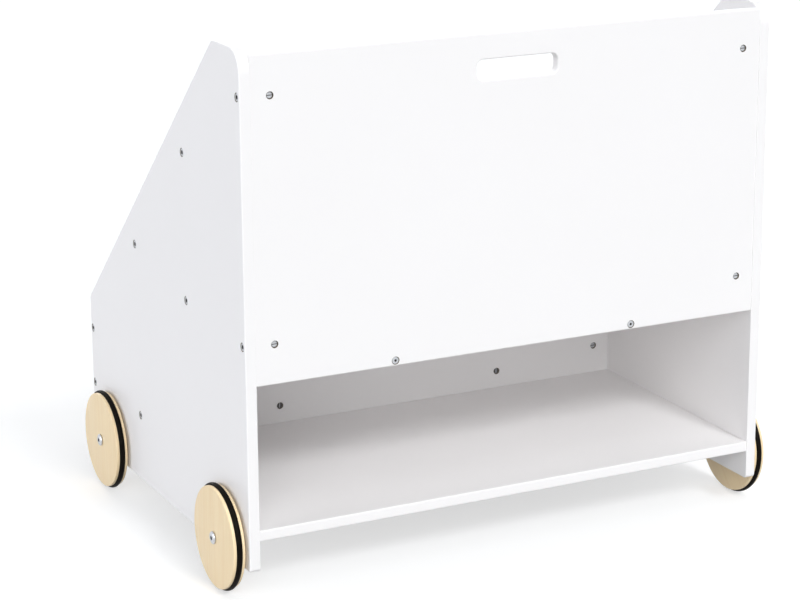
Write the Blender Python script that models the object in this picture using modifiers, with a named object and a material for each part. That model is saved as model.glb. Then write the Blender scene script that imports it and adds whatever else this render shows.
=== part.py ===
"""Mobile bookcase on four wooden wheels.

A low white bookcase for a child's room.  Two side panels with a sloping front carry
four upright boards: the back panel with its hand slot, two dividers and the front
panel, which make three stepped pockets for picture books.  Below the pockets, a
compartment opens to the back.  Bolts through the side panels pull the board ends
up against them with barrel nuts.  Each wheel is a wooden disc with a rubber ring in its
rim, turning on a button-head bolt.

Units are metres, +Z up.  The back panel faces -Y and the pockets face +Y.  The
origin is on the floor, under the middle of the bookcase.
"""

import math

import bmesh
import bpy
from mathutils import Matrix, Quaternion, Vector

# Boards
BOARD = 0.012               # thickness of every board
INNER_WIDTH = 0.600         # clear width between the side panels
PANEL_HEIGHT = 0.546        # side panel, lower edge to top
PANEL_DEPTH = 0.472         # side panel, rear edge to front edge
TOP_FLAT = 0.070            # level top of the side panel, from the rear edge
FRONT_EDGE = 0.179          # upright front edge of the side panel
REAR_TOP_RADIUS = 0.025     # rounded corner at the top of the rear edge
SLOPE_RADIUS = 0.012        # rounded corners at the two ends of the slope
FOOT_RADIUS = 0.004         # rounded corners at the lower edge
EDGE_EASE = 0.0015          # softened edges of all boards
BOARD_RECESS = 0.001        # back and front panel stand back from the panel edges
TOP_DROP = 0.006            # back panel top below the side panel top
SLOPE_DROP = 0.008          # divider tops below the slope
BACK_FOOT = 0.199           # foot of the back panel above the side panel's lower edge
BOTTOM_RISE = 0.032         # underside of the bottom board above that edge

# Hand slot in the back panel
SLOT_WIDTH = 0.096
SLOT_HEIGHT = 0.022
SLOT_RADIUS = 0.008
SLOT_DROP = 0.027           # top of the slot below the top of the back panel

# Connector bolts and barrel nuts
BOLT_D = 0.005
BOLT_HEAD_D = 0.0082
BOLT_HEAD_H = 0.0022
BOLT_SOCKET = 0.003         # across the flats of the hexagon socket
BOLT_TIP = 0.002            # thread showing past the nut
NUT_WALL = 0.0012           # metal round the thread of a barrel nut
NUT_INSET = 0.021           # nut centre from the end of its board
NUT_FLOOR = 0.002           # wood left behind a nut
NUT_SINK = 0.0012           # nut face below the face of the board
NUT_SLOT = 0.0012           # width of the screwdriver slot
NUT_SLOT_DEPTH = 0.001
BACK_BOLT_DROP = 0.042      # upper bolt below the top of the back panel
REAR_BOLT_DROP = 0.038      # the same on the rear divider
MIDDLE_BOLT_DROP = 0.033    # the same on the front divider
FRONT_BOLT_DROP = 0.031     # the same on the front panel
BACK_BOLT_RISE = 0.043      # lower bolt above the foot of the back panel
REAR_BOLT_RISE = 0.041      # the same on the rear divider
MIDDLE_BOLT_RISE = 0.034    # the same on the front divider
FRONT_BOLT_RISE = 0.030     # the same on the front panel

# Countersunk wood screws
SCREW_D = 0.004
SCREW_HEAD_D = 0.009
SCREW_HEAD_H = 0.0026
SCREW_LAND = 0.0005         # straight rim of the screw head
SCREW_SOCKET = 0.003
SCREW_LENGTH = 0.038
SCREW_POINT = 0.006         # tapered end of the screw
FIXING_INSET = 0.157        # shelf screws and foot bolts from the ends of the boards
BOTTOM_SCREW_DEPTH = 0.075  # bottom board screw from the rear edge, behind the wheel

# Wheels
WHEEL_D = 0.110
WHEEL_THICK = 0.013
WHEEL_GAP = 0.0025          # between the wheel and the side panel
WHEEL_EASE = 0.0015         # softened rim of the wheel
HUB_D = 0.026               # raised hub on the inner face of the wheel
TYRE_CORD = 0.005           # section of the rubber ring
TYRE_PROUD = 0.0025         # rubber standing out past the wood
AXLE_RISE = 0.0215          # axle above the side panel's lower edge
AXLE_REAR = 0.060           # rear axle from the rear edge
AXLE_FRONT = 0.064          # front axle from the front edge
AXLE_D = 0.008
AXLE_HEAD_D = 0.0136
AXLE_HEAD_H = 0.0024
AXLE_SOCKET = 0.004
AXLE_RIM = 0.001            # straight rim of the button head, and the eased end of the axle
AXLE_CROWN = 0.0068         # flat round the socket of the button head
AXLE_FLOOR = 0.0015         # wood left behind the end of an axle
SOCKET_DEPTH_SHARE = 0.6    # hexagon sockets, as a share of the head height

# Clearances
GAP = 0.0003                # between pieces that touch
RUN = 0.0005                # running clearance at the wheels
BORE = 0.0004               # radial clearance round bolts and axles

# Facets
WHEEL_STEPS = 28
BOLT_STEPS = 10
HOLE_STEPS = 8
AXLE_STEPS = 16
TYRE_STEPS = 8
CORNER_STEPS = 4
DOME_STEPS = 2
SMOOTH_ANGLE = 35           # degrees; sharper edges stay crisp
WELD = 0.000001             # points closer than this are one

# Places that follow from the sizes above
TYRE_RADIUS = WHEEL_D / 2 + TYRE_PROUD
TYRE_CENTRE = TYRE_RADIUS - TYRE_CORD / 2
PANEL_LIFT = TYRE_RADIUS - AXLE_RISE
REAR_REACH = max(0.0, TYRE_RADIUS - AXLE_REAR)
FRONT_REACH = max(0.0, TYRE_RADIUS - AXLE_FRONT)
MID_DEPTH = (PANEL_DEPTH + FRONT_REACH - REAR_REACH) / 2
HALF_INNER = INNER_WIDTH / 2
HALF_OUTER = HALF_INNER + BOARD
BOARD_LENGTH = INNER_WIDTH - 2 * GAP
BACK_DEPTH = BOARD_RECESS + BOARD / 2
FRONT_DEPTH = PANEL_DEPTH - BOARD_RECESS - BOARD / 2
POCKET_PITCH = (FRONT_DEPTH - BACK_DEPTH) / 3
REAR_DIVIDER_DEPTH = BACK_DEPTH + POCKET_PITCH
FRONT_DIVIDER_DEPTH = BACK_DEPTH + 2 * POCKET_PITCH
SHELF_TOP = BACK_FOOT + BOARD
BOTTOM_TOP = BOTTOM_RISE + BOARD
AXLE_GRIP = BOARD - AXLE_FLOOR
NUT_D = BOLT_D + 2 * NUT_WALL
NUT_LENGTH = BOARD - NUT_FLOOR - NUT_SINK
HEAD_SINK = BOLT_HEAD_H + GAP
BOLT_SHANK = BOARD - HEAD_SINK + NUT_INSET + NUT_D / 2 + BOLT_TIP
BOLT_HOLE_DEPTH = NUT_INSET + NUT_D / 2 + BOLT_TIP + GAP
UP = Vector((0, 0, 1))
SIDES = {"left": -1, "right": 1}

for leftover in list(bpy.data.objects):
    bpy.data.objects.remove(leftover, do_unlink=True)


def new_collection(name):
    collection = bpy.data.collections.new(name)
    bpy.context.scene.collection.children.link(collection)
    return collection


PARTS = new_collection("mobile_bookcase")
CUTTERS = new_collection("cutters")


def new_material(name, colour, roughness, metallic=0.0):
    material = bpy.data.materials.new(name)
    material.use_nodes = True
    shader = material.node_tree.nodes["Principled BSDF"]
    shader.inputs["Base Color"].default_value = (*colour, 1.0)
    shader.inputs["Roughness"].default_value = roughness
    shader.inputs["Metallic"].default_value = metallic
    return material


LACQUER = new_material("white_lacquer", (0.90, 0.90, 0.91), 0.35)
WOOD = new_material("pale_wood", (0.80, 0.64, 0.42), 0.55)
RUBBER = new_material("black_rubber", (0.012, 0.012, 0.013), 0.6)
STEEL = new_material("zinc_steel", (0.62, 0.63, 0.65), 0.3, 1.0)


def spot(x, depth, height):
    """World point from x, depth in front of the rear edge and height over the lower edge."""
    return Vector((x, depth - MID_DEPTH, PANEL_LIFT + height))


def add_object(name, mesh, material, place=None, turn=None):
    part = bpy.data.objects.new(name, mesh)
    if not mesh.materials:
        mesh.materials.append(material)
    part.location = place or Vector()
    part.rotation_mode = "QUATERNION"
    part.rotation_quaternion = turn or Quaternion()
    PARTS.objects.link(part)
    return part


def baked(obj):
    """Mesh of an object with its modifiers, welded; the object is removed."""
    bpy.context.view_layer.update()
    graph = bpy.context.evaluated_depsgraph_get()
    mesh = bpy.data.meshes.new_from_object(obj.evaluated_get(graph))
    bm = bmesh.new()
    bm.from_mesh(mesh)
    bmesh.ops.remove_doubles(bm, verts=bm.verts, dist=WELD)
    bm.to_mesh(mesh)
    bm.free()
    bpy.data.objects.remove(obj, do_unlink=True)
    return mesh


def smooth(mesh):
    mesh.shade_smooth()
    mesh.set_sharp_from_angle(angle=math.radians(SMOOTH_ANGLE))
    return mesh


def turn_to(direction):
    """Rotation that points a piece's own +Z along a direction."""
    return UP.rotation_difference(direction)


def make_cutter(name, drillings):
    """Wire cutter that joins drill shapes: (mesh, point on the face, direction out of the face)."""
    bm = bmesh.new()
    for shape, face, outward in drillings:
        copy = shape.copy()
        copy.transform(Matrix.Translation(face) @ turn_to(outward).to_matrix().to_4x4())
        bm.from_mesh(copy)
        bpy.data.meshes.remove(copy)
    mesh = bpy.data.meshes.new(name)
    bm.to_mesh(mesh)
    bm.free()
    return add_cutter(name, mesh)


def add_cutter(name, mesh):
    cutter = bpy.data.objects.new(name, mesh)
    cutter.hide_render = True
    cutter.display_type = "WIRE"
    CUTTERS.objects.link(cutter)
    return cutter


def cut(part, cutter):
    boolean = part.modifiers.new(cutter.name, "BOOLEAN")
    boolean.operation = "DIFFERENCE"
    boolean.solver = "EXACT"
    boolean.object = cutter


def polyline(name, points, closed):
    """Flat chain of edges in the XZ plane, ready to be turned round Z."""
    mesh = bpy.data.meshes.new(name)
    bm = bmesh.new()
    verts = [bm.verts.new((x, 0, z)) for x, z in points]
    for first, second in zip(verts, verts[1:]):
        bm.edges.new((first, second))
    if closed:
        bm.edges.new((verts[-1], verts[0]))
    bm.to_mesh(mesh)
    bm.free()
    return mesh


def turned(name, points, steps, closed=False):
    """Object turned round Z from a profile that runs down its outer side."""
    obj = bpy.data.objects.new(name, polyline(name, points, closed))
    CUTTERS.objects.link(obj)
    screw = obj.modifiers.new("turned", "SCREW")
    screw.angle = 2 * math.pi
    screw.steps = steps
    screw.render_steps = steps
    screw.use_merge_vertices = True
    screw.merge_threshold = WELD
    return obj


def arc(centre, radius, start, end, steps):
    """Points of an arc, both ends included; angles in degrees."""
    points = []
    for step in range(steps + 1):
        angle = math.radians(start + (end - start) * step / steps)
        points.append((centre[0] + radius * math.cos(angle), centre[1] + radius * math.sin(angle)))
    return points


def rounded_outline(corners):
    """Outline from (x, y, radius) corners, with each corner rounded by an arc."""
    points = []
    for index, (x, y, radius) in enumerate(corners):
        here = Vector((x, y))
        before = (Vector(corners[index - 1][:2]) - here).normalized()
        after = (Vector(corners[(index + 1) % len(corners)][:2]) - here).normalized()
        half = before.angle(after) / 2
        centre = here + (before + after).normalized() * (radius / math.sin(half))
        first = here + before * (radius / math.tan(half)) - centre
        last = here + after * (radius / math.tan(half)) - centre
        sweep = first.angle_signed(last)
        for step in range(CORNER_STEPS + 1):
            offset = first.copy()
            offset.rotate(Matrix.Rotation(-sweep * step / CORNER_STEPS, 2))
            points.append(centre + offset)
    return points


def extruded(name, outline, thickness, ease):
    """Mesh of a flat outline in the XY plane, thickened along Z, with softened edges."""
    curve = bpy.data.curves.new(name, "CURVE")
    curve.dimensions = "2D"
    curve.fill_mode = "BOTH"
    curve.extrude = thickness / 2 - ease
    curve.bevel_depth = ease
    curve.bevel_resolution = 1
    curve.offset = -ease
    spline = curve.splines.new("POLY")
    spline.points.add(len(outline) - 1)
    for point, place in zip(spline.points, outline):
        point.co = (place[0], place[1], 0, 1)
    spline.use_cyclic_u = True
    obj = bpy.data.objects.new(name, curve)
    CUTTERS.objects.link(obj)
    mesh = baked(obj)
    bpy.data.curves.remove(curve)
    return mesh


def drill(name, profile, steps):
    """Mesh of a drilled hole with its flats at the profile's radii; +Z points out of the face."""
    spread = 1 / math.cos(math.pi / steps)
    return baked(turned(name, [(radius * spread, height) for radius, height in profile], steps))


def straight_drill(name, radius, depth, above, steps):
    return drill(name, [(0, above), (radius, above), (radius, -depth), (0, -depth)], steps)


def socketed(obj, across, top, depth):
    """Mesh of a turned fastener with a hexagon socket sunk into its top."""
    hexagon = straight_drill("hexagon", across / 2, depth, depth, 6)
    cutter = make_cutter("socket", [(hexagon, UP * top, UP)])
    cut(obj, cutter)
    mesh = baked(obj)
    bpy.data.objects.remove(cutter, do_unlink=True)
    return smooth(mesh)


# Fastener meshes: heads at the top, shanks pointing down the own -Z axis

def bolt_mesh():
    """Flat-head connector bolt; the underside of the head is at the origin."""
    head = BOLT_HEAD_D / 2
    shank = BOLT_D / 2
    profile = [(0, BOLT_HEAD_H), (head, BOLT_HEAD_H), (head, 0), (shank, 0), (shank, -BOLT_SHANK),
               (0, -BOLT_SHANK)]
    body = turned("connector_bolt", profile, BOLT_STEPS)
    return socketed(body, BOLT_SOCKET, BOLT_HEAD_H, BOLT_HEAD_H * SOCKET_DEPTH_SHARE)


def screw_mesh():
    """Countersunk wood screw; the flat of the head is at the origin."""
    shank = SCREW_D / 2
    profile = [(0, 0), (SCREW_HEAD_D / 2, 0), (SCREW_HEAD_D / 2, -SCREW_LAND), (shank, -SCREW_HEAD_H),
               (shank, SCREW_POINT - SCREW_LENGTH), (0, -SCREW_LENGTH)]
    body = turned("wood_screw", profile, BOLT_STEPS)
    return socketed(body, SCREW_SOCKET, 0, SCREW_HEAD_H * SOCKET_DEPTH_SHARE)


def nut_mesh():
    """Barrel nut with its slotted face at the origin, its thread across its own X axis."""
    radius = NUT_D / 2
    profile = [(0, 0), (radius, 0), (radius, -NUT_LENGTH), (0, -NUT_LENGTH)]
    body = turned("barrel_nut", profile, BOLT_STEPS)
    across = Vector((1, 0, 0))
    through = straight_drill("thread", BOLT_D / 2 + GAP, 2 * NUT_D, 0, HOLE_STEPS)
    thread = make_cutter("nut_thread", [(through, across * NUT_D + UP * (NUT_SINK - BOARD / 2), across)])
    bpy.ops.mesh.primitive_cube_add(size=1)
    slot = bpy.context.object
    slot.scale = (2 * NUT_D, NUT_SLOT, 2 * NUT_SLOT_DEPTH)
    cut(body, thread)
    cut(body, slot)
    mesh = baked(body)
    for tool in (thread, slot):
        bpy.data.objects.remove(tool, do_unlink=True)
    return smooth(mesh)


def axle_mesh():
    """Button-head axle bolt; the underside of the head is at the origin."""
    shank = AXLE_D / 2
    head = AXLE_HEAD_D / 2
    crown = AXLE_CROWN / 2
    length = RUN + WHEEL_THICK + WHEEL_GAP + AXLE_GRIP
    dome = []
    for step in range(DOME_STEPS + 1):
        share = step / DOME_STEPS
        rise = AXLE_RIM + (AXLE_HEAD_H - AXLE_RIM) * math.cos(share * math.pi / 2)
        dome.append((crown + (head - crown) * math.sin(share * math.pi / 2), rise))
    profile = [(0, AXLE_HEAD_H), *dome, (head, 0), (shank, 0), (shank, AXLE_RIM - length),
               (shank - AXLE_RIM, -length), (0, -length)]
    body = turned("axle_bolt", profile, AXLE_STEPS)
    return socketed(body, AXLE_SOCKET, AXLE_HEAD_H, AXLE_HEAD_H * SOCKET_DEPTH_SHARE)


# Wheel meshes: turned round the axle, outer face towards the own +Z axis

def flat_radius(radius):
    """Corner radius of a turned facet ring whose flats lie at the given radius."""
    return radius / math.cos(math.pi / WHEEL_STEPS)


def disc_mesh():
    """Wooden disc with a round groove in its rim and a raised hub on the inner face."""
    half = WHEEL_THICK / 2
    rim = WHEEL_D / 2
    bore = AXLE_D / 2 + BORE
    hub_end = -half - WHEEL_GAP + RUN
    groove = (TYRE_CORD / 2 + GAP) / math.cos(math.pi / TYRE_STEPS)
    bite = math.degrees(math.acos(max(-1.0, min(1.0, (rim - TYRE_CENTRE) / groove))))
    profile = [(bore, half)]
    profile += arc((rim - WHEEL_EASE, half - WHEEL_EASE), WHEEL_EASE, 90, 0, 1)
    profile += arc((TYRE_CENTRE, 0), groove, bite, 360 - bite, TYRE_STEPS // 2)
    profile += arc((rim - WHEEL_EASE, WHEEL_EASE - half), WHEEL_EASE, 0, -90, 1)
    profile += [(HUB_D / 2, -half), (HUB_D / 2, hub_end), (bore, hub_end)]
    profile = [(flat_radius(radius), height) for radius, height in profile]
    return smooth(baked(turned("wheel_disc", profile, WHEEL_STEPS, closed=True)))


def tyre_mesh():
    """Rubber ring of round section, seated in the groove of the disc."""
    ring = arc((TYRE_CENTRE, 0), TYRE_CORD / 2, 90, -270, TYRE_STEPS)[:-1]
    profile = [(flat_radius(radius), height) for radius, height in ring]
    return smooth(baked(turned("tyre_ring", profile, WHEEL_STEPS, closed=True)))


# Boards

def slope_height(depth):
    """Height of the side panel's upper edge at a depth."""
    fall = (PANEL_HEIGHT - FRONT_EDGE) / (PANEL_DEPTH - TOP_FLAT)
    return PANEL_HEIGHT - max(0.0, depth - TOP_FLAT) * fall


def side_panel(side):
    """Panel outline drawn with x as depth and y as height, then stood up on its edge."""
    corners = [(0, 0, FOOT_RADIUS), (0, PANEL_HEIGHT, REAR_TOP_RADIUS),
               (TOP_FLAT, PANEL_HEIGHT, SLOPE_RADIUS), (PANEL_DEPTH, FRONT_EDGE, SLOPE_RADIUS),
               (PANEL_DEPTH, 0, FOOT_RADIUS)]
    mesh = extruded("side_panel_" + side, rounded_outline(corners), BOARD, EDGE_EASE)
    upright = Matrix(((0, 0, 1), (1, 0, 0), (0, 1, 0))).to_4x4()
    mesh.transform(upright)
    place = spot(SIDES[side] * (HALF_INNER + BOARD / 2), 0, 0)
    return add_object("side_panel_" + side, mesh, LACQUER, place)


def flat_board(name, depth_size, height_size, depth, height):
    """Board across the full inner width; depth and height give its centre."""
    bpy.ops.mesh.primitive_cube_add(size=1)
    block = bpy.context.object
    block.scale = (BOARD_LENGTH, depth_size, height_size)
    bpy.ops.object.transform_apply(location=False, rotation=False, scale=True)
    bevel = block.modifiers.new("eased edges", "BEVEL")
    bevel.width = EDGE_EASE
    bevel.segments = 2
    bevel.limit_method = "NONE"
    return add_object(name, baked(block), LACQUER, spot(0, depth, height))


def upright_board(name, depth, foot, top):
    return flat_board(name, BOARD, top - foot - GAP, depth, (foot + GAP + top) / 2)


def level_board(name, rear, front, underside):
    return flat_board(name, front - rear, BOARD, (rear + front) / 2, underside + BOARD / 2)


def hand_slot():
    """Cutter for the hand slot, a rounded oblong right through the back panel."""
    half_w = SLOT_WIDTH / 2
    half_h = SLOT_HEIGHT / 2
    corners = [(x, y, SLOT_RADIUS) for x, y in ((-half_w, -half_h), (-half_w, half_h),
                                                (half_w, half_h), (half_w, -half_h))]
    mesh = extruded("hand_slot", rounded_outline(corners), 3 * BOARD, 0)
    mesh.transform(Matrix.Rotation(math.radians(90), 4, "X"))
    cutter = add_cutter("hand_slot", mesh)
    cutter.location = spot(0, BACK_DEPTH, BACK_TOP - SLOT_DROP - half_h)
    return cutter


BACK_TOP = PANEL_HEIGHT - TOP_DROP
REAR_DIVIDER_TOP = slope_height(REAR_DIVIDER_DEPTH + BOARD / 2) - SLOPE_DROP
FRONT_DIVIDER_TOP = slope_height(FRONT_DIVIDER_DEPTH + BOARD / 2) - SLOPE_DROP
FRONT_TOP = slope_height(FRONT_DEPTH + BOARD / 2) - SLOPE_DROP

panels = {side: side_panel(side) for side in SIDES}
back_panel = upright_board("back_panel", BACK_DEPTH, BACK_FOOT, BACK_TOP)
rear_divider = upright_board("rear_divider", REAR_DIVIDER_DEPTH, SHELF_TOP, REAR_DIVIDER_TOP)
front_divider = upright_board("front_divider", FRONT_DIVIDER_DEPTH, BOTTOM_TOP, FRONT_DIVIDER_TOP)
front_panel = upright_board("front_panel", FRONT_DEPTH, BOTTOM_TOP, FRONT_TOP)
middle_shelf = level_board("middle_shelf", BACK_DEPTH + BOARD / 2 + GAP,
                           FRONT_DIVIDER_DEPTH - BOARD / 2 - GAP, BACK_FOOT)
bottom_board = level_board("bottom_board", BOARD_RECESS, PANEL_DEPTH - BOARD_RECESS, BOTTOM_RISE)

# Upright boards: where each is bolted to the side panels
BOLTED = {
    "back_panel": (back_panel, BACK_DEPTH, BACK_FOOT + BACK_BOLT_RISE, BACK_TOP - BACK_BOLT_DROP),
    "rear_divider": (rear_divider, REAR_DIVIDER_DEPTH, SHELF_TOP + REAR_BOLT_RISE,
                     REAR_DIVIDER_TOP - REAR_BOLT_DROP),
    "front_divider": (front_divider, FRONT_DIVIDER_DEPTH, BOTTOM_TOP + MIDDLE_BOLT_RISE,
                      FRONT_DIVIDER_TOP - MIDDLE_BOLT_DROP),
    "front_panel": (front_panel, FRONT_DEPTH, BOTTOM_TOP + FRONT_BOLT_RISE,
                    FRONT_TOP - FRONT_BOLT_DROP),
}
BEHIND = Vector((0, -1, 0))
NUT_TURN = turn_to(BEHIND)

# Drilled holes, each with its face at the origin
CLEAR_HOLE = BOLT_D / 2 + BORE
HEAD_HOLE = BOLT_HEAD_D / 2 + BORE
SCREW_HOLE = SCREW_D / 2 + BORE
SCREW_MOUTH = SCREW_HEAD_D / 2 + BORE
SEAT = HEAD_SINK + GAP
BOLT_REACH = BOARD + GAP + BOLT_HOLE_DEPTH
BOLT_DRILL = drill("bolt_drill", [(0, BOARD), (HEAD_HOLE, BOARD), (HEAD_HOLE, -SEAT), (CLEAR_HOLE, -SEAT),
                                  (CLEAR_HOLE, -BOLT_REACH), (0, -BOLT_REACH)], HOLE_STEPS)
SCREW_DRILL = drill("screw_drill", [(0, BOARD), (SCREW_MOUTH, BOARD), (SCREW_MOUTH, -SCREW_LAND),
                                    (SCREW_HOLE, -SCREW_HEAD_H), (SCREW_HOLE, -SCREW_LENGTH - GAP),
                                    (0, -SCREW_LENGTH - GAP)], HOLE_STEPS)
NUT_DRILL = straight_drill("nut_drill", NUT_D / 2 + GAP, BOARD - NUT_FLOOR + GAP, BOARD, HOLE_STEPS)
AXLE_DRILL = straight_drill("axle_drill", AXLE_D / 2 + BORE, AXLE_GRIP + GAP, BOARD, HOLE_STEPS)
panel_drillings = {side: [] for side in SIDES}

# Connector bolts and barrel nuts along the ends of the upright boards
BOLT_MESH = bolt_mesh()
NUT_MESH = nut_mesh()


def add_bolt(name, face, outward):
    """Bolt with its head sunk into a face."""
    add_object(name, BOLT_MESH, STEEL, face - outward * HEAD_SINK, turn_to(outward))
    return (BOLT_DRILL, face, outward)


def add_nut(name, x, depth, height, spin=0.0):
    """Barrel nut in the rear face of the upright board centred at a depth."""
    face = spot(x, depth - BOARD / 2, height)
    add_object(name, NUT_MESH, STEEL, face - BEHIND * NUT_SINK, NUT_TURN @ Quaternion(UP, spin))
    return (NUT_DRILL, face, BEHIND)


for label, (board, depth, low, high) in BOLTED.items():
    bolt_holes = []
    nut_holes = []
    for level, height in (("lower", low), ("upper", high)):
        for side, sign in SIDES.items():
            name = "_".join((label, level, side))
            face = spot(sign * HALF_OUTER, depth, height)
            drilling = add_bolt("bolt_" + name, face, Vector((sign, 0, 0)))
            bolt_holes.append(drilling)
            panel_drillings[side].append(drilling)
            nut_x = sign * (HALF_INNER - NUT_INSET)
            nut_holes.append(add_nut("barrel_nut_" + name, nut_x, depth, height))
    cut(board, make_cutter(label + "_bolt_holes", bolt_holes))
    cut(board, make_cutter(label + "_nut_holes", nut_holes))

# Foot bolts, up through the bottom board into the front divider
bolt_holes = []
nut_holes = []
for side, sign in SIDES.items():
    x = sign * (HALF_INNER - FIXING_INSET)
    underside = spot(x, FRONT_DIVIDER_DEPTH, BOTTOM_RISE)
    bolt_holes.append(add_bolt("foot_bolt_" + side, underside, -UP))
    height = BOTTOM_TOP + NUT_INSET
    nut_holes.append(add_nut("foot_nut_" + side, x, FRONT_DIVIDER_DEPTH, height, math.radians(90)))
foot_cutter = make_cutter("foot_bolt_holes", bolt_holes)
cut(front_divider, foot_cutter)
cut(front_divider, make_cutter("foot_nut_holes", nut_holes))
cut(bottom_board, foot_cutter)

# Countersunk screws: back panel to middle shelf, side panels to bottom board
SCREW_MESH = screw_mesh()


def add_screw(name, face, outward):
    """Screw with the flat of its head just below a face."""
    add_object(name, SCREW_MESH, STEEL, face - outward * GAP, turn_to(outward))
    return (SCREW_DRILL, face - outward * GAP, outward)


shelf_holes = []
end_holes = []
for side, sign in SIDES.items():
    outward = Vector((sign, 0, 0))
    face = spot(sign * (HALF_INNER - FIXING_INSET), BOARD_RECESS, BACK_FOOT + BOARD / 2)
    shelf_holes.append(add_screw("shelf_screw_" + side, face, BEHIND))
    face = spot(sign * HALF_OUTER, BOTTOM_SCREW_DEPTH, BOTTOM_RISE + BOARD / 2)
    drilling = add_screw("bottom_screw_" + side, face, outward)
    end_holes.append(drilling)
    panel_drillings[side].append(drilling)
shelf_cutter = make_cutter("shelf_screw_holes", shelf_holes)
cut(back_panel, shelf_cutter)
cut(middle_shelf, shelf_cutter)
cut(back_panel, hand_slot())
cut(bottom_board, make_cutter("bottom_screw_holes", end_holes))

# Wheels on their axle bolts
DISC_MESH = disc_mesh()
TYRE_MESH = tyre_mesh()
AXLE_MESH = axle_mesh()
AXLES = {"rear": AXLE_REAR, "front": PANEL_DEPTH - AXLE_FRONT}
for end, depth in AXLES.items():
    for side, sign in SIDES.items():
        outward = Vector((sign, 0, 0))
        flat_down = turn_to(outward) @ Quaternion(UP, math.pi / WHEEL_STEPS)
        face = spot(sign * HALF_OUTER, depth, AXLE_RISE)
        centre = face + outward * (WHEEL_GAP + WHEEL_THICK / 2)
        name = end + "_" + side
        add_object("wheel_" + name, DISC_MESH, WOOD, centre, flat_down)
        add_object("tyre_" + name, TYRE_MESH, RUBBER, centre, flat_down)
        head = centre + outward * (WHEEL_THICK / 2 + RUN)
        add_object("axle_bolt_" + name, AXLE_MESH, STEEL, head, turn_to(outward))
        panel_drillings[side].append((AXLE_DRILL, face, outward))

for side, panel in panels.items():
    cut(panel, make_cutter("panel_holes_" + side, panel_drillings[side]))
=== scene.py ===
"""Looks of the mobile bookcase: fine meshes for every board, wheel and fastener, their finishes,
a plain studio and the camera.  Metres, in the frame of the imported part.
"""

import math

import bmesh
import bpy
from mathutils import Matrix, Vector


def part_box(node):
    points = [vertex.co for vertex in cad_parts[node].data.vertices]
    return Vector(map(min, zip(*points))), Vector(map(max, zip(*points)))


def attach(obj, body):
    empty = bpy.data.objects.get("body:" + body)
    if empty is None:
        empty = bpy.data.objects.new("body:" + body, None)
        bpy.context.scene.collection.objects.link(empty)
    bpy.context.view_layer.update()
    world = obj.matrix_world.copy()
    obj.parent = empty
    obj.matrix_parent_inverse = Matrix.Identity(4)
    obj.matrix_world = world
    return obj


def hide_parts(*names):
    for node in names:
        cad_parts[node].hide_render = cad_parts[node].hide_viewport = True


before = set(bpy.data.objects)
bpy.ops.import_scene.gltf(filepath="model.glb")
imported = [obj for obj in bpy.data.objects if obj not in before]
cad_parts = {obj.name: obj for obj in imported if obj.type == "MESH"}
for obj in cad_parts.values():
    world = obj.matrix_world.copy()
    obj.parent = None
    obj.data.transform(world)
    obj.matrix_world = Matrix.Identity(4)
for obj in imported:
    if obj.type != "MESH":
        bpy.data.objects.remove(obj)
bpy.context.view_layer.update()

# Board shapes
TOP_FLAT = 0.070            # level top of a side panel, from its rear edge
FRONT_EDGE = 0.179          # upright front edge of a side panel
REAR_TOP_RADIUS = 0.025
SLOPE_RADIUS = 0.012
FOOT_RADIUS = 0.004
EDGE_RADIUS = 0.0015        # rounded edges that show
INNER_RADIUS = 0.0008       # inner edges of the side panels
BUTT_EASE = 0.0004          # edges that butt against another board
END_EASE = 0.0002           # ends that butt against a side panel
BUTT_REACH = 0.00025        # how far such edges close up to it
SLOT_WIDTH = 0.096
SLOT_HEIGHT = 0.022
SLOT_RADIUS = 0.008
SLOT_DROP = 0.027           # top of the hand slot below the top of the back panel

# Fasteners
BOLT_RADIUS = 0.0025
BOLT_HEAD_RADIUS = 0.0041
BOLT_HEAD_HEIGHT = 0.0022
BOLT_SOCKET = 0.004         # across the flats
NUT_RADIUS = 0.0033
NUT_LENGTH = 0.0088
NUT_SLOT = (0.0009, 0.0010)  # width and depth
NUT_CHAMFER = 0.0004
SCREW_RADIUS = 0.002
SCREW_HEAD_RADIUS = 0.0037
SCREW_HEAD_HEIGHT = 0.0026
SCREW_LAND = 0.0005
SCREW_SOCKET = 0.0022
SCREW_POINT = 0.006
AXLE_RADIUS = 0.004
AXLE_HEAD_RADIUS = 0.0068
AXLE_HEAD_HEIGHT = 0.0024
AXLE_RIM = 0.0008
AXLE_CROWN_RADIUS = 0.0034
AXLE_SOCKET = 0.004
SOCKET_DEPTH = 0.0026       # hexagon sockets
SOCKET_POINT = 1 / 3        # depth of a socket's pointed floor, as a share of its corner radius
AXLE_SOCKET_DEPTH = 0.0016
CHAMFER = 0.0003            # broken edges of the metal pieces
SINK = 0.0003               # bolt and screw heads below the board's face
CLEARANCE = 0.0004          # radial, round every shank
THREAD_CLEARANCE = 0.0003   # radial, in a nut's thread hole
HOLE_SPARE = 0.0003         # holes are this much deeper than what they hold
HEAD_CLEARANCE = 0.0005     # radial, round every sunk head and nut
MOUTH_RADIUS = 0.0003       # softened rim of a drilled hole
MOUTH_ARC = (110, 180)      # its arc in degrees, cut off a little below the face

# Wheels
WHEEL_RADIUS = 0.055
WHEEL_THICK = 0.013
WHEEL_EDGE_RADIUS = 0.0010
HUB_RADIUS = 0.013
HUB_HEIGHT = 0.002
TYRE_CORD_RADIUS = 0.0025
GROOVE_RADIUS = 0.0027
TYRE_STRETCH = 1.24         # rubber and groove are wider along the axle than they are deep

# Facets
CORNER_STEPS = 12
EDGE_STEPS = 5
ROUND_STEPS = 40
WHEEL_STEPS = 160
CORD_STEPS = 24
FINE_STEPS = 3              # hole mouths and broken edges
SLOT_STEPS = 2              # corners of the cutter for a nut's slot
HEXAGON = 6
SMOOTH_ANGLE = math.radians(32)
WELD = 1e-7                 # points closer than this are one
OVERSHOOT = 0.002           # cutters reach this far past a face

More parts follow.
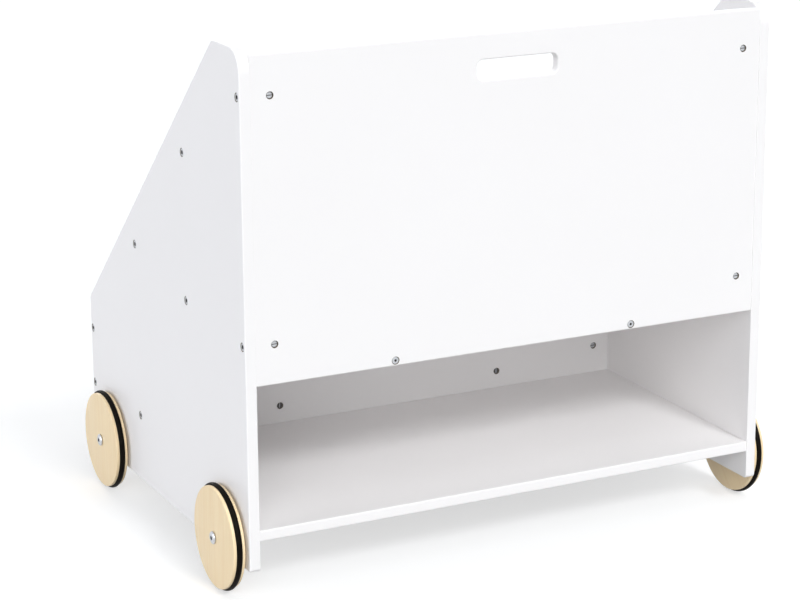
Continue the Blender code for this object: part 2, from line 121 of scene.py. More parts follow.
SIDES = {"left": Vector((-1, 0, 0)), "right": Vector((1, 0, 0))}
BEHIND = Vector((0, -1, 0))
UP = Vector((0, 0, 1))
DOWN = -UP
ACROSS = Matrix(((0, 0, 1), (1, 0, 0), (0, 1, 0))).to_4x4()   # outline in YZ, thickness along X


# Outlines and profiles

def arc(centre, radius, start, end, steps):
    """Points of an arc in degrees, both ends included."""
    points = []
    for step in range(steps + 1):
        angle = math.radians(start + (end - start) * step / steps)
        points.append((centre[0] + radius * math.cos(angle), centre[1] + radius * math.sin(angle)))
    return points


def rounded(corners, steps):
    """Counter-clockwise outline with each (x, y, radius) corner rounded by an arc."""
    points = []
    for index, (x, y, radius) in enumerate(corners):
        here = Vector((x, y))
        before = (Vector(corners[index - 1][:2]) - here).normalized()
        after = (Vector(corners[(index + 1) % len(corners)][:2]) - here).normalized()
        half = before.angle(after) / 2
        centre = here + (before + after).normalized() * (radius / math.sin(half))
        first = here + before * (radius / math.tan(half)) - centre
        turn = math.pi - 2 * half
        start = math.atan2(first.y, first.x)
        points += arc(centre, radius, math.degrees(start), math.degrees(start + turn), steps)
    return [Vector(point) for point in points]


def rectangle(low, high, radius):
    return [(low[0], low[1], radius), (high[0], low[1], radius), (high[0], high[1], radius),
            (low[0], high[1], radius)]


def inset(outline, distance):
    """Outline moved inwards all round; a negative distance moves it outwards."""
    moved = []
    for index, here in enumerate(outline):
        before = (here - outline[index - 1]).normalized()
        after = (outline[(index + 1) % len(outline)] - here).normalized()
        first = Vector((-before.y, before.x))
        second = Vector((-after.y, after.x))
        moved.append(here + (first + second) * (distance / (1 + first.dot(second))))
    return moved


# Meshes

def finished(bm, name):
    """Mesh from a bmesh, with outward faces, smooth but for its crisp edges."""
    bmesh.ops.recalc_face_normals(bm, faces=bm.faces)
    mesh = bpy.data.meshes.new(name)
    bm.to_mesh(mesh)
    bm.free()
    mesh.shade_smooth()
    mesh.set_sharp_from_angle(angle=SMOOTH_ANGLE)
    return mesh


def stacked(name, outline, rings):
    """Solid from one outline, inset by the first number of each ring at the height of the second."""
    bm = bmesh.new()
    loops = []
    for distance, height in rings:
        loops.append([bm.verts.new((x, y, height)) for x, y in inset(outline, distance)])
    for lower, upper in zip(loops, loops[1:]):
        for index in range(len(outline)):
            bm.faces.new((lower[index - 1], lower[index], upper[index], upper[index - 1]))
    bm.faces.new(reversed(loops[0]))
    bm.faces.new(loops[-1])
    return finished(bm, name)


def slab(name, outline, low, high, low_radius, high_radius):
    """Board from low to high along Z, with rounded edges."""
    lower = []
    upper = []
    for step in range(EDGE_STEPS + 1):
        angle = math.pi / 2 * step / EDGE_STEPS
        lower.append((low_radius * (1 - math.sin(angle)), low + low_radius * (1 - math.cos(angle))))
        upper.append((high_radius * (1 - math.sin(angle)), high - high_radius * (1 - math.cos(angle))))
    return stacked(name, outline, lower + upper[::-1])


def lathe(name, profile, steps, closed=False):
    """Solid turned round Z from (radius, height) points."""
    bm = bmesh.new()
    verts = [bm.verts.new((radius, 0, height)) for radius, height in profile]
    edges = [bm.edges.new(pair) for pair in zip(verts, verts[1:])]
    if closed:
        edges.append(bm.edges.new((verts[-1], verts[0])))
    bmesh.ops.spin(bm, geom=verts + edges, cent=(0, 0, 0), axis=(0, 0, 1), angle=2 * math.pi,
                   steps=steps, use_merge=True)
    bmesh.ops.remove_doubles(bm, verts=bm.verts, dist=WELD)
    return finished(bm, name)


def aimed(point, outward):
    """Transform that puts a mesh's origin at a point with its own +Z pointing outward."""
    return Matrix.Translation(point) @ UP.rotation_difference(outward).to_matrix().to_4x4()


def joined(name, placed):
    """One mesh from (mesh, transform) pairs."""
    bm = bmesh.new()
    for mesh, transform in placed:
        copy = mesh.copy()
        copy.transform(transform)
        bm.from_mesh(copy)
        bpy.data.meshes.remove(copy)
    return finished(bm, name)


def split(mesh, places):
    """Mesh divided along the planes through each place, so that no face surrounds a whole hole."""
    bm = bmesh.new()
    bm.from_mesh(mesh)
    for axis in range(3):
        normal = Vector((0, 0, 0))
        normal[axis] = 1
        for level in sorted({round(place[axis], 6) for place in places}):
            bmesh.ops.bisect_plane(bm, geom=[*bm.verts, *bm.edges, *bm.faces], plane_co=normal * level,
                                   plane_no=normal)
    return finished(bm, mesh.name)


def carved(mesh, cutters):
    """Mesh with each cutter mesh taken away in turn; the walls of a cut keep the cutter's material."""
    body = bpy.data.objects.new(mesh.name, mesh)
    bpy.context.scene.collection.objects.link(body)
    tools = []
    for cutter in cutters:
        tool = bpy.data.objects.new(cutter.name, cutter)
        bpy.context.scene.collection.objects.link(tool)
        boolean = body.modifiers.new(cutter.name, "BOOLEAN")
        boolean.operation = "DIFFERENCE"
        boolean.solver = "EXACT"
        boolean.material_mode = "TRANSFER"
        boolean.object = tool
        tools.append(tool)
    bpy.context.view_layer.update()
    graph = bpy.context.evaluated_depsgraph_get()
    cut = body.evaluated_get(graph).to_mesh()
    materials = [material.original for material in cut.materials if material]
    bm = bmesh.new()
    bm.from_mesh(cut)
    bmesh.ops.remove_doubles(bm, verts=bm.verts, dist=WELD)
    for extra in [body, *tools]:
        bpy.data.objects.remove(extra, do_unlink=True)
    result = finished(bm, mesh.name)
    for material in materials:
        result.materials.append(material)
    return result


# Holes, each with the face of the board at height zero

def drill(name, profile):
    """Cutter with a softened mouth; the profile starts at the mouth's (radius, 0)."""
    radius = profile[0][0]
    mouth = arc((radius + MOUTH_RADIUS, -MOUTH_RADIUS), MOUTH_RADIUS, *MOUTH_ARC, FINE_STEPS)
    top = [(0, OVERSHOOT), (radius + MOUTH_RADIUS + OVERSHOOT, OVERSHOOT)]
    cutter = lathe(name, top + mouth + profile[1:] + [(0, profile[-1][1])], ROUND_STEPS)
    cutter.transform(Matrix.Rotation(math.pi / ROUND_STEPS, 4, "Z"))
    return cutter


def bolt_drill(length):
    head = BOLT_HEAD_RADIUS + HEAD_CLEARANCE
    shank = BOLT_RADIUS + CLEARANCE
    seat = -SINK - BOLT_HEAD_HEIGHT - HOLE_SPARE
    return drill("bolt_drill", [(head, 0), (head, seat), (shank, seat), (shank, -SINK - length - HOLE_SPARE)])


def screw_drill(length):
    head = SCREW_HEAD_RADIUS + HEAD_CLEARANCE
    shank = SCREW_RADIUS + CLEARANCE
    return drill("screw_drill", [(head, 0), (head, -SINK - SCREW_LAND), (shank, -SINK - SCREW_HEAD_HEIGHT),
                                 (shank, -SINK - length - HOLE_SPARE)])


def plain_drill(name, radius, depth):
    return drill(name, [(radius, 0), (radius, -depth)])


# Fasteners, each with its outer face at height zero and its shank pointing down

def socket_drill(across, depth):
    """Hexagon socket with a chamfered mouth and a pointed floor."""
    corner = across / math.sqrt(3)
    profile = [(0, OVERSHOOT), (corner + CHAMFER + OVERSHOOT, OVERSHOOT), (corner, -CHAMFER),
               (corner, -depth), (0, -depth - corner * SOCKET_POINT)]
    return lathe("socket", profile, HEXAGON)


def socketed(body, across, depth):
    """Bright body with a hexagon socket whose walls are darker zinc, painted shade for the recess."""
    socket = socket_drill(across, depth)
    body.materials.append(ZINC)
    socket.materials.append(PAINTED_SHADE_ZINC)
    return carved(body, [socket])


def rim(radius):
    """Broken edge round the face of a head."""
    return arc((radius - CHAMFER, -CHAMFER), CHAMFER, 90, 0, FINE_STEPS)


def bolt_mesh(length):
    head = BOLT_HEAD_RADIUS
    seat = -BOLT_HEAD_HEIGHT
    profile = [(0, 0), *rim(head), (head, seat), (BOLT_RADIUS, seat), (BOLT_RADIUS, -length + CHAMFER),
               (BOLT_RADIUS - CHAMFER, -length), (0, -length)]
    return socketed(lathe("connector_bolt", profile, ROUND_STEPS), BOLT_SOCKET, SOCKET_DEPTH)


def screw_mesh(length):
    head = SCREW_HEAD_RADIUS
    profile = [(0, 0), *rim(head), (head, -SCREW_LAND), (SCREW_RADIUS, -SCREW_HEAD_HEIGHT),
               (SCREW_RADIUS, SCREW_POINT - length), (0, -length)]
    return socketed(lathe("wood_screw", profile, ROUND_STEPS), SCREW_SOCKET, SOCKET_DEPTH)


def nut_mesh(thread_depth):
    """Barrel nut with a screwdriver slot in its face and the thread hole across its own X axis."""
    radius = NUT_RADIUS
    profile = [(0, 0), (radius - NUT_CHAMFER, 0), (radius, -NUT_CHAMFER),
               (radius, NUT_CHAMFER - NUT_LENGTH), (radius - NUT_CHAMFER, -NUT_LENGTH), (0, -NUT_LENGTH)]
    body = lathe("barrel_nut", profile, ROUND_STEPS)
    slot_width, slot_depth = NUT_SLOT
    reach = 2 * radius
    slot_corners = rectangle((-reach, -slot_width / 2), (reach, slot_width / 2), CHAMFER)
    slot_outline = rounded(slot_corners, SLOT_STEPS)
    slot = stacked("nut_slot", slot_outline, [(0, -slot_depth), (0, OVERSHOOT)])
    thread = BOLT_RADIUS + THREAD_CLEARANCE
    hole = lathe("nut_thread", [(0, reach), (thread, reach), (thread, -reach), (0, -reach)], ROUND_STEPS)
    hole.transform(Matrix.Translation((0, 0, -thread_depth)) @ Matrix.Rotation(math.pi / 2, 4, "Y"))
    # walls of the slot and the thread hole in darker zinc: painted shade in these recesses
    body.materials.append(ZINC)
    for cutter in (hole, slot):
        cutter.materials.append(PAINTED_SHADE_ZINC)
    return carved(body, [hole, slot])


def axle_mesh(length):
    """Button-head bolt with a hexagon socket in its dome."""
    head = AXLE_HEAD_RADIUS
    crown = AXLE_CROWN_RADIUS
    drop = AXLE_HEAD_HEIGHT - AXLE_RIM
    dome = []
    for step in range(CORNER_STEPS + 1):
        angle = math.pi / 2 * step / CORNER_STEPS
        dome.append((crown + (head - crown) * math.sin(angle), drop * (math.cos(angle) - 1)))
    profile = [(0, 0), *dome, (head, -AXLE_HEAD_HEIGHT), (AXLE_RADIUS, -AXLE_HEAD_HEIGHT),
               (AXLE_RADIUS, AXLE_RIM - length), (AXLE_RADIUS - AXLE_RIM, -length), (0, -length)]
    return socketed(lathe("axle_bolt", profile, 2 * ROUND_STEPS), AXLE_SOCKET, AXLE_SOCKET_DEPTH)


# Wheels, turned round their own Z axis with the outer face towards +Z

def stretched(profile):
    return [(radius, height * TYRE_STRETCH) for radius, height in profile]


def disc_mesh():
    half = WHEEL_THICK / 2
    edge = WHEEL_EDGE_RADIUS
    bore = AXLE_RADIUS + CLEARANCE
    hub_end = -half - HUB_HEIGHT
    profile = [(bore + CHAMFER, half)]
    profile += arc((WHEEL_RADIUS - edge, half - edge), edge, 90, 0, EDGE_STEPS)
    profile += stretched(arc((WHEEL_RADIUS, 0), GROOVE_RADIUS, 90, 270, CORD_STEPS // 2))
    profile += arc((WHEEL_RADIUS - edge, edge - half), edge, 0, -90, EDGE_STEPS)
    profile += [(HUB_RADIUS, -half), (HUB_RADIUS, hub_end + CHAMFER), (HUB_RADIUS - CHAMFER, hub_end),
                (bore, hub_end), (bore, half - CHAMFER)]
    return lathe("wheel_disc", profile, WHEEL_STEPS, closed=True)


def tyre_mesh():
    ring = stretched(arc((WHEEL_RADIUS, 0), TYRE_CORD_RADIUS, 90, -270, CORD_STEPS)[:-1])
    tyre = lathe("tyre_ring", ring, WHEEL_STEPS, closed=True)
    tyre.materials.append(RUBBER)
    return tyre


# Materials

NOISE_SPAN = (0.3, 0.7)     # where most values of a noise texture lie
FULL = (0.0, 1.0)
GRAIN_SCALE = (0.05, 1.0, 1.0)      # draws the wood's grain out along X


def new_material(name, roughness, metallic=0.0, specular=0.5):
    """Material with its shader, its node tree and coordinates in metres."""
    material = bpy.data.materials.new(name)
    material.use_nodes = True
    tree = material.node_tree
    shader = tree.nodes["Principled BSDF"]
    shader.inputs["Roughness"].default_value = roughness
    shader.inputs["Metallic"].default_value = metallic
    shader.inputs["Specular IOR Level"].default_value = specular
    coords = tree.nodes.new("ShaderNodeTexCoord").outputs["Object"]
    return material, tree, shader, coords


def noise(tree, coords, scale, detail=2.0, roughness=0.5, distortion=0.0):
    texture = tree.nodes.new("ShaderNodeTexNoise")
    texture.inputs["Scale"].default_value = scale
    texture.inputs["Detail"].default_value = detail
    texture.inputs["Roughness"].default_value = roughness
    texture.inputs["Distortion"].default_value = distortion
    tree.links.new(coords, texture.inputs["Vector"])
    return texture.outputs["Fac"]


def remap(tree, value, source, target):
    """Value carried over from one range to another."""
    mapped = tree.nodes.new("ShaderNodeMapRange")
    for socket, number in zip(("From Min", "From Max", "To Min", "To Max"), (*source, *target)):
        mapped.inputs[socket].default_value = number
    tree.links.new(value, mapped.inputs["Value"])
    return mapped.outputs["Result"]


def blend(tree, factor, first, second):
    """Colour mixed from two colours; either may be a socket."""
    mixed = tree.nodes.new("ShaderNodeMix")
    mixed.data_type = "RGBA"
    tree.links.new(factor, mixed.inputs["Factor"])
    for socket, colour in ((mixed.inputs["A"], first), (mixed.inputs["B"], second)):
        if isinstance(colour, tuple):
            socket.default_value = (*colour, 1.0)
        else:
            tree.links.new(colour, socket)
    return mixed.outputs["Result"]


def bumped(tree, height, strength, distance, below=None):
    bump = tree.nodes.new("ShaderNodeBump")
    bump.inputs["Strength"].default_value = strength
    bump.inputs["Distance"].default_value = distance
    tree.links.new(height, bump.inputs["Height"])
    if below:
        tree.links.new(below, bump.inputs["Normal"])
    return bump.outputs["Normal"]


def lacquer_material():
    """Sprayed satin white lacquer: faint clouding, orange peel and uneven gloss."""
    material, tree, shader, coords = new_material("white_lacquer", 0.36, specular=0.35)
    clouds = remap(tree, noise(tree, coords, scale=5.0, detail=3.0), NOISE_SPAN, FULL)
    base = blend(tree, clouds, (0.938, 0.916, 0.910), (0.948, 0.926, 0.920))
    tree.links.new(base, shader.inputs["Base Color"])
    sheen = noise(tree, coords, scale=48.0, detail=4.0, roughness=0.6)
    tree.links.new(remap(tree, sheen, NOISE_SPAN, (0.30, 0.42)), shader.inputs["Roughness"])
    waves = bumped(tree, noise(tree, coords, scale=70.0, detail=1.0), strength=0.05, distance=0.0006)
    peel = noise(tree, coords, scale=900.0, detail=1.5)
    tree.links.new(bumped(tree, peel, strength=0.10, distance=0.0002, below=waves), shader.inputs["Normal"])
    return material


def raw_board_and_shade_material():
    """Bare fibreboard in the walls of the drilled holes, made darker than bare board as painted shade inside
    the holes.
    """
    material, tree, shader, coords = new_material("raw_board_and_painted_shade", 0.9, specular=0.1)
    fibres = remap(tree, noise(tree, coords, scale=1800.0, detail=3.0, roughness=0.6), NOISE_SPAN, FULL)
    base = blend(tree, fibres, (0.17, 0.14, 0.11), (0.27, 0.23, 0.18))
    tree.links.new(base, shader.inputs["Base Color"])
    tree.links.new(bumped(tree, fibres, strength=0.3, distance=0.0002), shader.inputs["Normal"])
    return material


def wood_material(name, offset, turn):
    """Clear-coated pale hardwood: soft growth bands, fine fibres and short darker flecks along the grain."""
    material, tree, shader, coords = new_material(name, 0.42, specular=0.45)
    mapping = tree.nodes.new("ShaderNodeMapping")
    mapping.inputs["Location"].default_value = offset
    mapping.inputs["Rotation"].default_value = (0, 0, turn)
    tree.links.new(coords, mapping.inputs["Vector"])
    along = tree.nodes.new("ShaderNodeMapping")
    along.inputs["Scale"].default_value = GRAIN_SCALE
    tree.links.new(mapping.outputs["Vector"], along.inputs["Vector"])
    grain = along.outputs["Vector"]
    bands = noise(tree, grain, scale=95.0, detail=3.0, roughness=0.55, distortion=0.4)
    growth = blend(tree, remap(tree, bands, (0.36, 0.66), FULL), (0.960, 0.760, 0.476), (0.922, 0.704, 0.418))
    streaks = noise(tree, grain, scale=420.0, detail=4.0, roughness=0.6)
    streaked = blend(tree, remap(tree, streaks, (0.40, 0.70), (0.0, 0.5)), growth, (0.970, 0.798, 0.528))
    fibres = noise(tree, grain, scale=1700.0)
    flecks = remap(tree, fibres, (0.62, 0.74), (0.0, 0.28))
    flecked = blend(tree, flecks, streaked, (0.720, 0.530, 0.300))
    tree.links.new(flecked, shader.inputs["Base Color"])
    gloss = remap(tree, noise(tree, grain, scale=260.0, detail=3.0), NOISE_SPAN, (0.34, 0.48))
    tree.links.new(gloss, shader.inputs["Roughness"])
    tree.links.new(bumped(tree, fibres, strength=0.10, distance=0.0002), shader.inputs["Normal"])
    return material


def rubber_material():
    """Black rubber with a dull bloom and a fine moulded grain."""
    material, tree, shader, coords = new_material("black_rubber", 0.5, specular=0.04)
    bloom = remap(tree, noise(tree, coords, scale=90.0, detail=4.0, roughness=0.65), (0.45, 0.75), FULL)
    base = blend(tree, bloom, (0.0055, 0.0040, 0.0026), (0.0100, 0.0080, 0.0060))
    tree.links.new(base, shader.inputs["Base Color"])
    gloss = remap(tree, noise(tree, coords, scale=220.0, detail=3.0), NOISE_SPAN, (0.36, 0.58))
    tree.links.new(gloss, shader.inputs["Roughness"])
    grain = bumped(tree, noise(tree, coords, scale=1600.0), strength=0.15, distance=0.0001)
    tree.links.new(grain, shader.inputs["Normal"])
    return material


def metal_material(name, dull, bright):
    """Plated steel with a faint grain and duller patches."""
    material, tree, shader, coords = new_material(name, 0.3, metallic=1.0)
    patches = remap(tree, noise(tree, coords, scale=350.0, detail=3.0, roughness=0.6), (0.35, 0.7), FULL)
    tree.links.new(blend(tree, patches, dull, bright), shader.inputs["Base Color"])
    gloss = remap(tree, noise(tree, coords, scale=900.0, detail=3.0), NOISE_SPAN, (0.22, 0.42))
    tree.links.new(gloss, shader.inputs["Roughness"])
    grain = bumped(tree, noise(tree, coords, scale=2500.0), strength=0.08, distance=0.0001)
    tree.links.new(grain, shader.inputs["Normal"])
    return material


LACQUER = lacquer_material()
RAW_BOARD_AND_SHADE = raw_board_and_shade_material()
RUBBER = rubber_material()
ZINC = metal_material("zinc_steel", (0.52, 0.53, 0.55), (0.64, 0.65, 0.67))
# zinc darkened as painted shade: walls of sockets, slots and holes, and nuts in the compartment's shade
PAINTED_SHADE_ZINC = metal_material("zinc_steel_painted_shade", (0.09, 0.085, 0.08), (0.16, 0.15, 0.145))
WOODS = {
    "rear_left": wood_material("pale_wood_rear_left", (0.31, 0.07, 0.02), 0.05),
    "rear_right": wood_material("pale_wood_rear_right", (0.83, 0.41, 0.11), 0.7),
    "front_left": wood_material("pale_wood_front_left", (0.55, 0.93, 0.37), -0.06),
    "front_right": wood_material("pale_wood_front_right", (0.12, 0.66, 0.74), 1.2),
}


# Pieces

def add_piece(node, mesh, body="bookcase", transform=None):
    """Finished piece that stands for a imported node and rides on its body."""
    piece = bpy.data.objects.new(node + "_finished", mesh)
    bpy.context.scene.collection.objects.link(piece)
    if transform:
        piece.matrix_world = transform
    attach(piece, body)
    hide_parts(node)
    return piece


def outer_end(node, outward):
    """Middle of a node's end face in the outward direction."""
    low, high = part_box(node)
    reach = (high - low) / 2
    return (low + high) / 2 + Vector(a * b for a, b in zip(outward, reach))


def length_along(node, outward):
    low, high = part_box(node)
    return abs((high - low).dot(outward))


# Holes to be cut in each board: shanks and screws first, then the nuts that cross them
shank_holes = {}
nut_holes = {}


def drill_boards(boards, mesh, transform):
    for board in boards:
        shank_holes.setdefault(board, []).append((mesh, transform))


BOLT_LENGTH = length_along("bolt_back_panel_upper_left", SIDES["left"])
SCREW_LENGTH = length_along("shelf_screw_left", BEHIND)
AXLE_LENGTH = length_along("axle_bolt_rear_left", SIDES["left"])
BOLT = bolt_mesh(BOLT_LENGTH)
SCREW = screw_mesh(SCREW_LENGTH)
AXLE = axle_mesh(AXLE_LENGTH)
BOLT_HOLE = bolt_drill(BOLT_LENGTH)
SCREW_HOLE = screw_drill(SCREW_LENGTH)

# Nuts sit below the rear face of their board, crossed by the bolts in the middle of its thickness
BACK_LOW, BACK_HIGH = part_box("back_panel")
NUT_FACE = outer_end("barrel_nut_back_panel_upper_left", BEHIND).y
NUT = nut_mesh((BACK_LOW.y + BACK_HIGH.y) / 2 - NUT_FACE)
FOOT_NUT = NUT.copy()       # whole body in darker zinc as painted shade of the compartment, with plain zinc in the slot
for index, metal in enumerate((PAINTED_SHADE_ZINC, ZINC)):
    FOOT_NUT.materials[index] = metal
NUT_DEPTH = NUT_FACE - BACK_LOW.y + NUT_LENGTH + HOLE_SPARE
NUT_HOLE = plain_drill("nut_drill", NUT_RADIUS + HEAD_CLEARANCE, NUT_DEPTH)


def add_fixing(node, mesh, hole, outward, boards):
    """Bolt or screw whose head faces outward, with its hole in each board that it crosses."""
    head = outer_end(node, outward)
    add_piece(node, mesh, transform=aimed(head, outward))
    drill_boards(boards, hole, aimed(head + outward * SINK, outward))


def add_nut(node, board, mesh, spin):
    """Barrel nut in the rear face of a board, turned by an angle, with its hole."""
    face = outer_end(node, BEHIND)
    add_piece(node, mesh, transform=aimed(face, BEHIND) @ Matrix.Rotation(spin, 4, "Z"))
    mouth = face.copy()
    mouth.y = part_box(board)[0].y
    nut_holes.setdefault(board, []).append((NUT_HOLE, aimed(mouth, BEHIND)))


for board in ("back_panel", "rear_divider", "front_divider", "front_panel"):
    for level in ("lower", "upper"):
        for side, outward in SIDES.items():
            name = "_".join((board, level, side))
            add_fixing("bolt_" + name, BOLT, BOLT_HOLE, outward, ("side_panel_" + side, board))
            add_nut("barrel_nut_" + name, board, NUT, 0.0)
for side, outward in SIDES.items():
    add_fixing("foot_bolt_" + side, BOLT, BOLT_HOLE, DOWN, ("bottom_board", "front_divider"))
    add_nut("foot_nut_" + side, "front_divider", FOOT_NUT, math.pi / 2)
    add_fixing("shelf_screw_" + side, SCREW, SCREW_HOLE, BEHIND, ("back_panel", "middle_shelf"))
    add_fixing("bottom_screw_" + side, SCREW, SCREW_HOLE, outward, ("side_panel_" + side, "bottom_board"))

# Wheels
DISC = disc_mesh()
TYRE = tyre_mesh()
for corner, wood in WOODS.items():
    side = corner.split("_")[1]
    outward = SIDES[side]
    wheel = "wheel_" + corner
    low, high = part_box("tyre_" + corner)
    middle = aimed((low + high) / 2, outward)
    disc = DISC.copy()
    disc.materials.append(wood)
    add_piece(wheel, disc, wheel, middle)
    add_piece("tyre_" + corner, TYRE, wheel, middle)
    head = outer_end("axle_bolt_" + corner, outward)
    add_piece("axle_bolt_" + corner, AXLE, transform=aimed(head, outward))
    panel = "side_panel_" + side
    face = head.copy()
    face.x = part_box(panel)[0].x if outward.x < 0 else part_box(panel)[1].x
    depth = AXLE_LENGTH - (head - face).length + HOLE_SPARE
    drill_boards((panel,), plain_drill("axle_drill", AXLE_RADIUS + CLEARANCE, depth), aimed(face, outward))


# Boards

def hand_slot():
    """Cutter for the hand slot with rounded rims on both faces."""
    low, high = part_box("back_panel")
    top = high.z - SLOT_DROP
    outline = rounded(rectangle((-SLOT_WIDTH / 2, top - SLOT_HEIGHT), (SLOT_WIDTH / 2, top), SLOT_RADIUS),
                      CORNER_STEPS)
    rings = [(-EDGE_RADIUS - OVERSHOOT, OVERSHOOT)]
    for step in range(1, EDGE_STEPS + 1):
        angle = math.pi / 2 * step / EDGE_STEPS
        rings.append((EDGE_RADIUS * (math.sin(angle) - 1), EDGE_RADIUS * (math.cos(angle) - 1)))
    thickness = high.y - low.y
    rings += [(distance, -thickness - height) for distance, height in reversed(rings)]
    mesh = stacked("hand_slot", outline, list(reversed(rings)))
    mesh.transform(Matrix.Translation((0, low.y, 0)) @ Matrix.Rotation(math.pi / 2, 4, "X"))
    return mesh


def panel_corners(low, high):
    """Side panel outline in depth and height."""
    return [(low.y, low.z, FOOT_RADIUS), (high.y, low.z, FOOT_RADIUS),
            (high.y, low.z + FRONT_EDGE, SLOPE_RADIUS), (low.y + TOP_FLAT, high.z, SLOPE_RADIUS),
            (low.y, high.z, REAR_TOP_RADIUS)]


def board_corners(node, low, high):
    """Cross-section of a board between the side panels, in depth and height.

    Edges that butt against another board close up to it and stay crisp.
    """
    rear, front, foot, top = low.y, high.y, low.z, high.z
    rear_foot = front_foot = front_top = rear_top = EDGE_RADIUS
    if node in ("rear_divider", "front_divider", "front_panel"):
        foot -= BUTT_REACH
        rear_foot = front_foot = BUTT_EASE
    if node == "middle_shelf":
        rear -= BUTT_REACH
        front += BUTT_REACH
        rear_foot = front_foot = front_top = rear_top = BUTT_EASE
    if node == "back_panel":
        front_foot = BUTT_EASE
    return [(rear, foot, rear_foot), (front, foot, front_foot), (front, top, front_top),
            (rear, top, rear_top)]


def add_board(node):
    low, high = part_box(node)
    if node.startswith("side_panel"):
        outline = rounded(panel_corners(low, high), CORNER_STEPS)
        radii = (EDGE_RADIUS, INNER_RADIUS) if node.endswith("left") else (INNER_RADIUS, EDGE_RADIUS)
        mesh = slab(node, outline, low.x, high.x, *radii)
    else:
        mesh = slab(node, rounded(board_corners(node, low, high), EDGE_STEPS), low.x - BUTT_REACH,
                    high.x + BUTT_REACH, END_EASE, END_EASE)
    mesh.transform(ACROSS)
    holes = shank_holes.get(node, []) + nut_holes.get(node, [])
    mesh = split(mesh, [transform.translation for hole, transform in holes])
    mesh.materials.append(LACQUER)
    cutters = []
    for placed in (shank_holes, nut_holes):
        if node in placed:
            cutter = joined(node + "_holes", placed[node])
            # hole walls: raw fibreboard, darkened as painted shade
            cutter.materials.append(RAW_BOARD_AND_SHADE)
            cutters.append(cutter)
    if node == "back_panel":
        slot = hand_slot()
        slot.materials.append(LACQUER)
        cutters.append(slot)
    board = add_piece(node, carved(mesh, cutters))
    normals = board.modifiers.new("flat faces", "WEIGHTED_NORMAL")
    normals.keep_sharp = True


for node in ("side_panel_left", "side_panel_right", "back_panel", "rear_divider", "front_divider",
             "front_panel", "middle_shelf", "bottom_board"):
    add_board(node)


# Studio

IMAGE_WIDTH = 800
FLOOR_SIZE = 60.0
FLOOR_PAPER = (0.50, 0.50, 0.50)    # what the floor throws back on the part
FLOOR_GLOW = 0.55           # share of the floor's white that no shadow takes away
FLOOR_SHADE = 0.56          # how strongly the floor shows light and shadow
SKY_REAR = 0.12             # sky strength at the horizon behind the back panel
SKY_TOP = 0.03              # overhead
SKY_FRONT = 0.26            # on the side of the pockets
SKY_TURN = (-0.2, 0.4)      # where along Y the sky changes from rear to front
SKY_COLOUR = (0.94, 0.97, 1.02)
SUNS = (                    # name, where from, strength, spread in degrees, colour
    ("soft_key", (0.14, -1.00, 0.78), 1.31, 12, (0.965, 0.985, 1.00)),
    ("high_key", (0.20, -0.60, 1.00), 0.58, 36, (0.965, 0.985, 1.00)),
    ("soft_fill", (-0.50, -0.95, 0.50), 1.30, 40, (0.965, 0.985, 1.00)),
    ("side_fill", (-1.00, 0.10, 0.18), 1.43, 40, (0.93, 0.96, 1.02)),
    ("right_fill", (1.00, 0.10, 0.12), 0.95, 40, (0.95, 0.98, 1.02)),
    ("front_fill", (0.35, 1.00, 0.16), 1.60, 60, (0.95, 0.98, 1.02)),
)
CAMERA_PLACE = (-1.2112, -2.4100, 1.0035)
CAMERA_TURN = math.radians(27.056)
CAMERA_DIP = math.radians(15.113)
CAMERA_ROLL = math.radians(-0.152)
CAMERA_FOCUS = 2442.4       # focal length in pixels of the image width
CAMERA_SHIFT = (-0.04, -0.05)


def seen_rays(tree):
    """1 for rays from the camera, mirrors and glass, 0 for the diffuse light on the part."""
    path = tree.nodes.new("ShaderNodeLightPath")
    seen = path.outputs["Is Camera Ray"]
    for ray in ("Is Glossy Ray", "Is Transmission Ray"):
        larger = tree.nodes.new("ShaderNodeMath")
        larger.operation = "MAXIMUM"
        tree.links.new(seen, larger.inputs[0])
        tree.links.new(path.outputs[ray], larger.inputs[1])
        seen = larger.outputs["Value"]
    return seen


def add_floor():
    bpy.ops.mesh.primitive_plane_add(size=FLOOR_SIZE)
    floor = bpy.context.object
    floor.name = "studio_floor"
    material = bpy.data.materials.new("studio_floor")
    material.use_nodes = True
    tree = material.node_tree
    tree.nodes.clear()
    output = tree.nodes.new("ShaderNodeOutputMaterial")
    paper = tree.nodes.new("ShaderNodeBsdfDiffuse")
    paper.inputs["Color"].default_value = (*FLOOR_PAPER, 1)
    glow = tree.nodes.new("ShaderNodeEmission")
    glow.inputs["Strength"].default_value = FLOOR_GLOW
    lit = tree.nodes.new("ShaderNodeBsdfDiffuse")
    lit.inputs["Color"].default_value = (FLOOR_SHADE, FLOOR_SHADE, FLOOR_SHADE, 1)
    seen = tree.nodes.new("ShaderNodeAddShader")
    tree.links.new(glow.outputs["Emission"], seen.inputs[0])
    tree.links.new(lit.outputs["BSDF"], seen.inputs[1])
    chosen = tree.nodes.new("ShaderNodeMixShader")
    tree.links.new(seen_rays(tree), chosen.inputs["Fac"])
    tree.links.new(paper.outputs["BSDF"], chosen.inputs[1])
    tree.links.new(seen.outputs["Shader"], chosen.inputs[2])
    tree.links.new(chosen.outputs["Shader"], output.inputs["Surface"])
    floor.data.materials.append(material)


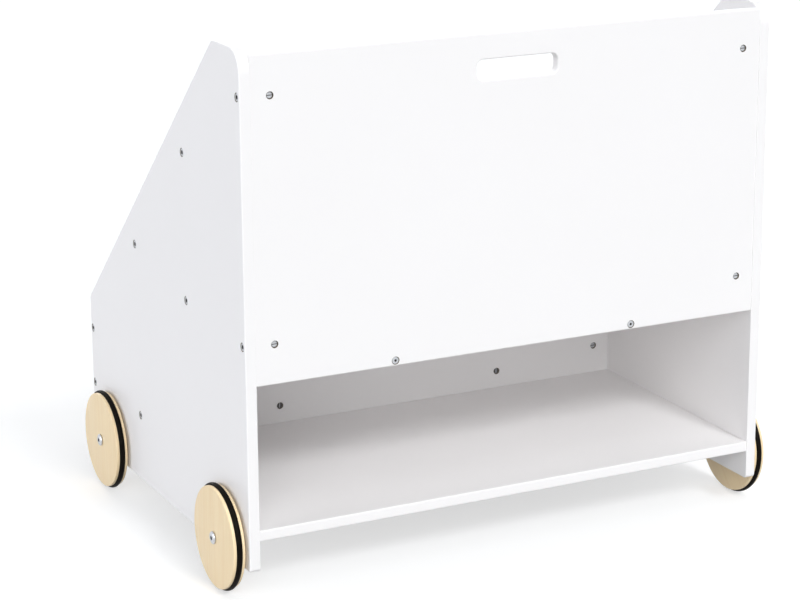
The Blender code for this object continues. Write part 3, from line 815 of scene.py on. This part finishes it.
def add_sky():
    world = bpy.data.worlds.new("studio_sky")
    bpy.context.scene.world = world
    world.use_nodes = True
    tree = world.node_tree
    background = tree.nodes["Background"]
    background.inputs["Color"].default_value = (*SKY_COLOUR, 1)
    direction = tree.nodes.new("ShaderNodeSeparateXYZ")
    tree.links.new(tree.nodes.new("ShaderNodeTexCoord").outputs["Generated"], direction.inputs["Vector"])
    strength = tree.nodes.new("ShaderNodeMix")
    tree.links.new(seen_rays(tree), strength.inputs["Factor"])
    behind = remap(tree, direction.outputs["Z"], FULL, (SKY_REAR, SKY_TOP))
    turned = tree.nodes.new("ShaderNodeMapRange")
    tree.links.new(direction.outputs["Y"], turned.inputs["Value"])
    turned.inputs["From Min"].default_value, turned.inputs["From Max"].default_value = SKY_TURN
    turned.inputs["To Max"].default_value = SKY_FRONT
    tree.links.new(behind, turned.inputs["To Min"])
    tree.links.new(turned.outputs["Result"], strength.inputs["A"])
    strength.inputs["B"].default_value = 1.0
    tree.links.new(strength.outputs["Result"], background.inputs["Strength"])


def add_sun(name, source, strength, spread, colour):
    lamp = bpy.data.lights.new(name, "SUN")
    lamp.energy = strength
    lamp.color = colour
    lamp.angle = math.radians(spread)
    sun = bpy.data.objects.new(name, lamp)
    bpy.context.scene.collection.objects.link(sun)
    sun.rotation_mode = "QUATERNION"
    sun.rotation_quaternion = Vector(source).to_track_quat("Z", "Y")


def add_camera():
    lens = bpy.data.cameras.new("photo_camera")
    lens.lens = lens.sensor_width * CAMERA_FOCUS / IMAGE_WIDTH
    lens.shift_x, lens.shift_y = CAMERA_SHIFT
    camera = bpy.data.objects.new("photo_camera", lens)
    bpy.context.scene.collection.objects.link(camera)
    camera.matrix_world = (Matrix.Translation(CAMERA_PLACE) @ Matrix.Rotation(-CAMERA_TURN, 4, "Z")
                           @ Matrix.Rotation(math.pi / 2 - CAMERA_DIP, 4, "X")
                           @ Matrix.Rotation(CAMERA_ROLL, 4, "Z"))
    bpy.context.scene.camera = camera


add_floor()
add_sky()
for sun in SUNS:
    add_sun(*sun)
add_camera()
bpy.context.scene.view_settings.view_transform = "Standard"
